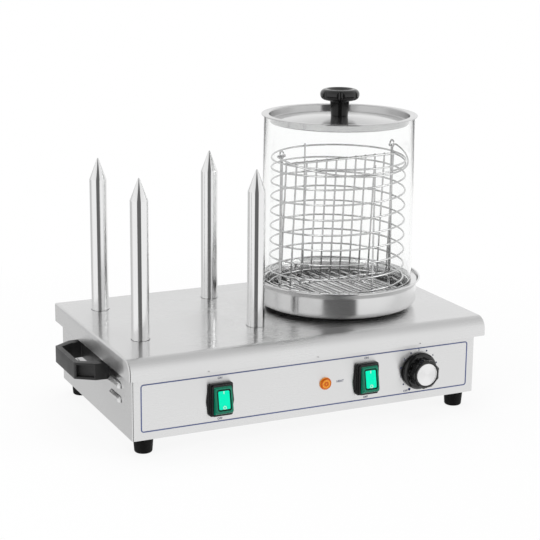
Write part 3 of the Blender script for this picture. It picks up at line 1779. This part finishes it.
@dataclass
class Switches(Assembly):
    """Two rocker switches, each in a black hood.

    Attributes:
        width: Width of the hood's base.
        height: Height of the hood's base.
        pivot: Place of the rocker's axis, forward of the panel.
        tilt: Turn of the rocker at rest, in degrees.
        face: Distance of the rocker's face from its axis.
        radius: Distance of the rocker's ends from its axis.
        half: Half the rocker's width.
    """

    width: float = 31.0
    height: float = 42.0
    pivot: float = 4.0
    tilt: float = 11.0
    face: float = 10.5
    radius: float = 18.7
    half: float = 11.8

    def plate(
        self, name: str, size: Point2, corner: float, low: float, high: float
    ) -> Piece:
        """Pulls out a plate with round corners about the switch's middle.

        Args:
            name: Name of the plate.
            size: Its width and height.
            corner: Radius of its corners.
            low: Place of its back, forward of the switch's middle.
            high: Place of its front.

        Returns:
            The plate, with the switch's middle at the origin.
        """
        w, h = size[0] / 2, size[1] / 2
        outline = [(-w, -h, corner), (w, -h, corner), (w, h, corner), (-w, h, corner)]
        return pulled(name, outline, Plane.FRONT, -low, -high)

    def hood(self) -> Piece:
        """Builds the hood: base, pointed side bumps, raised collar and rocker opening.

        Returns:
            The hood, with the switch's middle at the origin.
        """
        half, tall = self.width / 2, self.height / 2
        hood = self.plate("hood", (self.width, self.height), 2.0, 0, 5.0)
        fuse(hood, pulled("bumps", [
            (-half, tall - 3, 0.5), (half, tall - 3, 0.5), (half + 2.5, -3, 1.0),
            (half, 3 - tall, 0.5), (-half, 3 - tall, 0.5), (-half - 2.5, -3, 1.0)],
            Plane.FRONT, 0, -3.0))
        fuse(hood, self.plate("collar", (27.6, 40.0), 2.5, 0.1, 9.0))
        round_edges(weld(hood, 0.02), 0.7, 3, 40)
        axis = -self.pivot
        cut(hood, *[rod("opening", radius, (-reach, axis, 0), (reach, axis, 0), sides)
                    for radius, reach, sides in ((18.95, 12.05, 96), (1.55, 13.0, 24))])
        return soften(weld(hood), 35)

    def rocker_frame(self) -> Piece:
        """Builds one rocker: round back, flat face with round corners, hollow and pins.

        Returns:
            The rocker, with its axis at the origin.
        """
        half, face, radius = self.half, self.face, self.radius
        angle = math.acos(face / radius)
        arc = [(-radius * math.cos(angle + k * (math.pi / 2 - angle) / 8),
                radius * math.sin(angle + k * (math.pi / 2 - angle) / 8)) for k in range(9)]
        rocker = pulled("frame", [(y, -z) for y, z in arc][::-1] + arc, Plane.SIDE, -half, half)
        round_chosen(rocker, 1.1, 3, lambda a, b: (
            (abs(a.x) > half - 0.1 and abs(a.x - b.x) < 0.1 and max(a.y, b.y) < -0.5)
            or (abs(a.x - b.x) > 1 and a.y < -face + 0.3)))
        tall = 2 * radius * math.sin(angle)
        corners = self.plate("corners", (2 * half, tall), 2.6, face - 2.2, face + 2)
        around = self.plate("around", (3 * half, tall + 20), 1.0, face - 2.2, face + 1)
        cut(rocker, cut(around, corners))
        cut(rocker, self.plate("gap", (18.8, 27.2), 3.0, face - 1.6, face + 2))
        fuse(rocker, rod("pin", 1.5, (-13, 0, 0), (13, 0, 0), 24))
        return soften(weld(rocker), 35)

    def rocker_parts(self) -> dict[str, Piece]:
        """Builds one rocker's frame, dark gap, lit window and marks.

        Returns:
            The parts by name.
        """
        face = self.face
        rocker = self.rocker_frame()
        gap = round_edges(self.plate("gap", (18.7, 27.1), 2.9, face - 1.55, face - 0.9), 0.2, 2)
        window = round_edges(self.plate("window", (15.0, 23.2), 1.6, face - 1.0, face - 0.1), 0.6)
        bar = spread(self.plate("bar", (0.9, 3.6), 0.3, face - 0.12, face - 0.02), "bar",
                     [(0, 0, 9.6)])
        ring = turned("ring", [(1.5, 0), (2.2, 0), (2.2, -0.1), (1.5, -0.1), (1.5, 0)],
                      (0, -face + 0.12, -9.3), Turning.LEVEL, 32)
        return {"frame": rocker, "gap": soften(gap), "window": soften(window),
                "marks": joined("marks", [*bar, ring])}

    def build(self) -> None:
        """Builds both switches from one hood and one rocker."""
        hood = self.hood()
        parts = self.rocker_parts()
        looks = {"frame": "rocker_green", "gap": "gap_black", "window": "window_green",
                 "marks": "mark_white"}
        tip = Matrix.Rotation(math.radians(-self.tilt), 4, "X")
        for side, x in SWITCHES_X.items():
            place = shifted(x, PANEL_Y, CONTROL_Z)
            self.paint.dress(copied(hood, f"hood_{side}", place), "casing", "black_plastic",
                             f"switch_hood_{side}", look="hood_black")
            pivot = shifted(x, PANEL_Y - self.pivot, CONTROL_Z) @ tip
            for name, part in parts.items():
                nodes = [f"rocker_{side}"] if name == "frame" else []
                self.paint.dress(copied(part, f"rocker_{side}_{name}", pivot), f"rocker_{side}",
                                 "rocker_green", *nodes, look=looks[name])
        for part in (hood, *parts.values()):
            bpy.data.objects.remove(part)


@dataclass
class Lamp(Assembly):
    """The orange pilot lamp with concentric ridges."""

    radius: float = 8.2
    out: float = 4.0
    ridge: float = 0.35
    ridged: float = 6.6

    def build(self) -> None:
        """Turns the lens about its own axis."""
        ridges = [(self.ridged * k / 30,
                   max(-3.55 - self.ridge * math.cos(2 * math.pi * k / 10), -self.out))
                  for k in range(31)]
        rim = rounded_outline([
            (7.0, -3.2, 0.3), (7.0, -1.5, 0.3), (self.radius, -1.6, 0.5), (self.radius, 0, 0),
            (0, 0, 0)], closed=False)
        lens = turned("lamp_ridged_lens", ridges + rim, LAMP_CENTRE, Turning.LEVEL, 64)
        self.paint.dress(lens, "casing", "lamp_orange", "lamp_lens", smooth=50)


@dataclass
class Dial(Assembly):
    """The thermostat's fluted knob with its spun metal cap.

    Attributes:
        back: Place of the knob's back.
        front: Place of the cap's front.
        cap: Thickness of the cap.
        cap_radius: Radius of the cap.
        shaft: Radius of the hole for the shaft.
        hub: Radius of the hollow in the knob's back.
        skirt_radius: Radius of the skirt.
        grip: Radius of the grip.
        ribs: Number of ribs, and of the flutes between them.
        rest: Direction of the first rib, in degrees.
    """

    back: float = -135.1
    front: float = -156.3
    cap: float = 1.4
    cap_radius: float = 15.0
    shaft: float = 3.1
    hub: float = 10.05
    skirt_radius: float = 25.0
    grip: float = 18.6
    ribs: int = 9
    rest: float = -62.0

    def knob(self) -> None:
        """Builds the knob with its ribs and flutes, and a seat for the cap."""
        back, front, hub, wide = self.back, self.front, self.hub, self.skirt_radius
        skirt, grip_front = back - 7.0, front + self.cap
        knob = turned("dial_skirt", [
            (hub, back - 4, 0), (hub, back, 0), (wide, back, 0.4), (wide, back - 4.4, 2.4),
            (22.0, skirt - 0.2, 3.0), (self.grip, skirt - 0.6, 1.5),
            (self.grip + 0.3, grip_front, 0.6), (17.3, front + 0.1, 0.6), (15.2, front + 0.1, 0.3),
            (15.2, grip_front, 0), (self.shaft, grip_front, 0), (self.shaft, back - 4, 0),
            (hub, back - 4, 0)], DIAL_CENTRE, Turning.LEVEL, 144)

        for change, radius, reach, shift, start in (
            (fuse, 3.6, 16.2, 0.0, grip_front), (cut, 4.2, 22.3, 0.5, front - 1),
        ):
            bars = []
            for i in range(self.ribs):
                out, up = polar(reach, (i + shift) * 360 / self.ribs + self.rest)
                x, z = DIAL_CENTRE[0] + out, DIAL_CENTRE[2] + up
                bars.append(rod("bar", radius, (x, start, z), (x, skirt - 0.3, z), 40))
            change(knob, *bars)
        weld(round_edges(weld(knob, 0.05), 0.4, 2, 38), 0.01)
        self.paint.dress(knob, "knob", "black_plastic", "thermostat_knob", look="gloss_black",
                         smooth=40)

    def build(self) -> None:
        """Builds the knob and its cap."""
        self.knob()
        front, radius = self.front, self.cap_radius
        cap = turned("dial_cap", [
            (0, front + 0.25, 0), (radius - 1.6, front + 0.25, 0.4), (radius - 1.0, front, 0.3),
            (radius, front, 0.5), (radius, front + self.cap, 0), (0, front + self.cap, 0)],
            DIAL_CENTRE, Turning.LEVEL, 96)
        self.paint.dress(cap, "knob", "cap_aluminium", "knob_cap", smooth=35)


@dataclass
class PanelPrint(Assembly):
    """The printed marks and words on the front panel.

    Attributes:
        depth: Thickness of the print.
        weight: How far the letters' strokes are thickened.
        em: Size of the font for one unit of letter height.
        small: Height of the words at the switches and of OFF at the dial.
        large: Height of the word at the lamp and of the dial's numbers.
        ring: Distance of the dial's marks from its axis.
        off_angle: Direction of the dial's OFF mark.
        mark_turn: Turn between two of the dial's marks.
    """

    depth: float = 0.12
    weight: float = 0.09
    em: float = 1.45
    small: float = 2.7
    large: float = 2.9
    ring: float = 28.0
    off_angle: float = 241.9
    mark_turn: float = 25.15

    def word(self, text: str, height: float, x: float, z: float) -> Piece:
        """Prints a word centred on a spot of the panel.

        Args:
            text: The word.
            height: Height of its letters.
            x: Place of its middle, sideways.
            z: Height of its middle.

        Returns:
            The word as a mesh.
        """
        clear_selection()
        bpy.ops.object.text_add(location=(x * MM, (PANEL_Y - 0.02) * MM, z * MM),
                                rotation=(math.pi / 2, 0, 0))
        letters = bpy.context.object.data
        letters.body = text
        letters.size = height * self.em * MM
        letters.align_x = letters.align_y = "CENTER"
        letters.extrude = self.depth / 2 * MM
        letters.offset = self.weight * MM
        bpy.ops.object.convert(target="MESH")
        return weld(freeze(bpy.context.object))

    def on_ring(self, angle: float) -> Point2:
        """Returns the place, across and up, of a mark beside the dial."""
        out, up = polar(self.ring, angle)
        return DIAL_CENTRE[0] + out, DIAL_CENTRE[2] + up

    def dot(self, radius: float, angle: float) -> Piece:
        """Prints a dot beside the dial."""
        x, z = self.on_ring(angle)
        return turned("dot", [(0, 0), (radius, 0), (radius, -self.depth), (0, -self.depth)],
                      (x, PANEL_Y, z), Turning.LEVEL, 24)

    def build(self) -> None:
        """Prints the words beside the switches and the lamp, and the dial's marks."""
        parts = [self.word(text, self.small, x, z) for x in SWITCHES_X.values()
                 for text, z in (("ON", 87.6), ("OFF", 34.4))]
        parts.append(self.word("HEAT", self.large, 41.0, 61.2))
        parts.append(self.word("OFF", self.small, 139.4, 34.6))
        parts.append(self.dot(1.9, self.off_angle))
        for k in range(1, 13):
            angle = self.off_angle - self.mark_turn * k
            number = str(k // 2)
            parts.append(self.dot(1.15, angle) if k % 2
                         else self.word(number, self.large, *self.on_ring(angle)))
        letters = joined("panel_letters", parts)
        self.paint.dress(letters, "casing", "print_blue", look="letter_blue")


@dataclass
class Gland(Assembly):
    """The cable gland in the back wall: hexagon, domed cap and cable hole."""

    end: float = 156.3
    across: float = 13.0
    hole: float = 3.8
    ribs: int = 18

    def build(self) -> None:
        """Builds the gland's body and its ribbed dome."""
        x, _, z = GLAND_CENTRE

        def around(radius: float, count: int) -> list[Point2]:
            """Returns points in a circle about the gland's axis, across and up."""
            offsets = [polar(radius, 360 * k / count) for k in range(count)]
            return [(x + out, z + up) for out, up in offsets]

        body = pulled("gland_hexagon", around(self.across, 6), Plane.FRONT, BACK_Y, BACK_Y + 5)
        round_edges(body, 0.6, 3)
        dome = turned("dome", [
            (0, BACK_Y + 4, 0), (10.5, BACK_Y + 4, 0.5), (9.4, BACK_Y + 11, 2.5),
            (7.5, self.end, 2.0), (0, self.end, 0)], GLAND_CENTRE, Turning.LEVEL, 72)
        thread = rod("thread", 8.0, (x, BACK_Y - 10.2, z), (x, BACK_Y + 1, z), 48)
        fuse(body, dome, thread)
        cut(body, rod("hole", self.hole, (x, BACK_Y - 20, z), (x, self.end + 5, z), 40))
        cut(body, *[rod("rib", 1.1, (across, BACK_Y + 5.5, up), (across, self.end - 3.5, up), 12)
                    for across, up in around(11.3, self.ribs)])
        self.paint.dress(weld(body), "casing", "black_plastic", "cable_gland", smooth=35)


# ---------------------------------------------------------------- studio


@dataclass
class Studio:
    """Camera, pale floor, soft lamps and white surroundings.

    Attributes:
        azimuth: Turn of the camera from the front, in degrees.
        elevation: Height of the camera, in degrees.
        distance: Distance of the camera from its target, in millimetres.
        target: Point that the camera looks at, in millimetres.
        roll: Roll of the camera, in degrees.
        lens: Focal length, in millimetres.
        sensor: Width of the camera's sensor, in millimetres.
        dark_turn: Direction of the room's dark strip from the x axis, in degrees.
        dark_edges: Cosines of the angles at which the dark strip begins and is full.
        dark: Brightness of the dark strip.
        shade_turn: Direction of the room's shaded side.
        shade_edges: Cosines of the angles at which the shaded side begins and is full.
        shade_rise: Heights over which the shaded side ends.
        shade: Brightness of the shaded side.
        overhead: Brightness of the room's ceiling.
        overhead_rise: Heights over which the ceiling begins.
        fill: Brightness of the room for light that isn't mirrored.
        paper: Darkest and lightest colour of the floor.
        near_lift: How much the floor fades to white under the object.
        fade: Distances over which the floor fades to white, in metres.
        lamps: Name, place and aim in metres, side in metres and power in watts of each lamp.
    """

    azimuth: float = -25.40
    elevation: float = 14.08
    distance: float = 2010.96
    target: Point3 = (2.88, 0.0, 181.72)
    roll: float = 0.60
    lens: float = 100.05
    sensor: float = 36.0
    dark_turn: float = 248.5
    dark_edges: Point2 = (0.895, 0.925)
    dark: float = 0.14
    shade_turn: float = 122.0
    shade_edges: Point2 = (0.78, 0.95)
    shade_rise: Point2 = (0.0, 0.25)
    shade: float = 0.64
    overhead: float = 0.62
    overhead_rise: Point2 = (0.30, 0.95)
    fill: float = 0.52
    paper: Point2 = (0.79, 0.81)
    near_lift: float = 0.88
    fade: Point2 = (0.42, 0.85)
    lamps: tuple[tuple[str, Point3, Point3, float, float], ...] = (
        ("top_lamp", (0.0, 0.2, 1.9), (0.0, 0.0, 0.1), 1.6, 22.0),
        ("left_lamp", (-1.7, -0.6, 1.0), (0.0, 0.0, 0.15), 1.2, 12.0),
        ("right_lamp", (1.5, -1.2, 0.9), (0.0, 0.0, 0.15), 1.2, 10.0),
    )

    def camera(self) -> None:
        """Sets the camera where the photograph was taken from."""
        turn, rise, roll = (math.radians(v) for v in (self.azimuth, self.elevation, self.roll))
        back = Vector((math.sin(turn) * math.cos(rise), -math.cos(turn) * math.cos(rise),
                       math.sin(rise)))
        right = (-back).cross(Vector((0, 0, 1))).normalized()
        up = right.cross(-back)
        tilted_right = right * math.cos(roll) + up * math.sin(roll)
        tilted_up = up * math.cos(roll) - right * math.sin(roll)
        data = bpy.data.cameras.new("camera")
        data.lens, data.sensor_width, data.sensor_fit = self.lens, self.sensor, "HORIZONTAL"
        data.clip_start, data.clip_end = 0.05, 60.0
        camera = bpy.data.objects.new("camera", data)
        bpy.context.scene.collection.objects.link(camera)
        turned_axes = Matrix((tilted_right, tilted_up, back)).transposed().to_4x4()
        place = (Vector(self.target) + back * self.distance) * MM
        camera.matrix_world = Matrix.Translation(place) @ turned_axes
        bpy.context.scene.camera = camera

    def toward(self, graph: Graph, direction: Socket, turn: float, edges: Point2) -> Socket:
        """Returns a mask of one side of the room.

        Args:
            graph: The graph to add to.
            direction: Direction from the object.
            turn: Direction of the mask's middle from the x axis, in degrees.
            edges: Cosines of the angles at which the mask begins and is full.

        Returns:
            The mask.
        """
        flat = graph.vector("NORMALIZE", graph.vector("MULTIPLY", direction, (1, 1, 0)))
        return graph.span(graph.measure("DOT_PRODUCT", flat, (*polar(1.0, turn), 0.0)), *edges)

    def world(self) -> None:
        """Makes the surroundings: white to the eye, with darker sides in reflections."""
        world = bpy.data.worlds.new("studio")
        bpy.context.scene.world = world
        world.use_nodes = True
        graph = Graph(world.node_tree)
        direction = graph.add("ShaderNodeTexCoord").outputs["Generated"]
        height = graph.add("ShaderNodeSeparateXYZ", {0: direction}).outputs[2]
        shaded = graph.math(
            "MULTIPLY", self.toward(graph, direction, self.shade_turn, self.shade_edges),
            graph.span(height, *self.shade_rise, 1.0, 0.0))
        dark = self.toward(graph, direction, self.dark_turn, self.dark_edges)
        room: Socket | Point3 = alike(1.0)
        for mask, level in ((graph.span(height, *self.overhead_rise), self.overhead),
                            (shaded, self.shade), (dark, self.dark)):
            room = graph.mix(mask, room, alike(level))
        mirrored_ray = graph.add("ShaderNodeLightPath").outputs["Is Glossy Ray"]
        colour = graph.mix(mirrored_ray, alike(self.fill), room)
        graph.feed(world.node_tree.nodes["Background"], {
            "Color": graph.mix(graph.seen(), colour, alike(1.0))})

    def floor(self) -> None:
        """Lays the pale floor, which keeps the object's shadow and fades to white."""
        clear_selection()
        bpy.ops.mesh.primitive_circle_add(vertices=96, radius=4.0, fill_type="NGON")
        floor = bpy.context.object
        floor.name = "studio_floor"
        floor.visible_glossy = False
        material, graph, shader = started("pale_floor")
        place = graph.place()
        graph.feed(shader, {
            "Base Color": graph.mix(graph.noise(place, 60.0), *map(alike, self.paper)),
            "Roughness": 0.9, "Specular IOR Level": 0.1})
        glow = graph.add("ShaderNodeEmission", {"Strength": 1.0, "Color": (*alike(1.0), 1.0)})
        white = graph.span(graph.measure("LENGTH", place), *self.fade, self.near_lift, 1.0)
        blend = graph.add("ShaderNodeMixShader", {
            0: graph.math("MULTIPLY", graph.seen(), white), 1: shader.outputs[0],
            2: glow.outputs[0]})
        graph.feed(graph.tree.nodes["Material Output"], {"Surface": blend.outputs[0]})
        floor.data.materials.append(material)

    def lamp(self, name: str, place: Point3, aim: Point3, size: float, power: float) -> None:
        """Hangs a soft square lamp that isn't seen in mirrors.

        Args:
            name: Name of the lamp.
            place: Its place, in metres.
            aim: The point it shines at, in metres.
            size: Length of its side, in metres.
            power: Its power, in watts.
        """
        data = bpy.data.lights.new(name, "AREA")
        data.shape, data.size, data.energy = "SQUARE", size, power
        lamp = bpy.data.objects.new(name, data)
        bpy.context.scene.collection.objects.link(lamp)
        turn = (Vector(aim) - Vector(place)).to_track_quat("-Z", "Y").to_matrix().to_4x4()
        lamp.matrix_world = Matrix.Translation(place) @ turn
        lamp.visible_camera = lamp.visible_glossy = False

    def build(self) -> None:
        """Sets up the whole studio."""
        self.camera()
        self.world()
        self.floor()
        for lamp in self.lamps:
            self.lamp(*lamp)
        bpy.context.scene.view_settings.view_transform = "Standard"


def main() -> None:
    """Dresses the frame, models every sub-assembly and sets up the studio."""
    logging.basicConfig(level=logging.INFO, format="%(name)s: %(message)s")
    paint = Paintbox()
    paint.dress_frame()
    for assembly in (Case, Feet, Handles, Spikes, SteamTower, Basket, Switches, Lamp, Dial,
                     PanelPrint, Gland):
        LOG.info("building %s", assembly.__name__)
        assembly(paint).build()
    Studio().build()


if __name__ == "__main__":
    main()
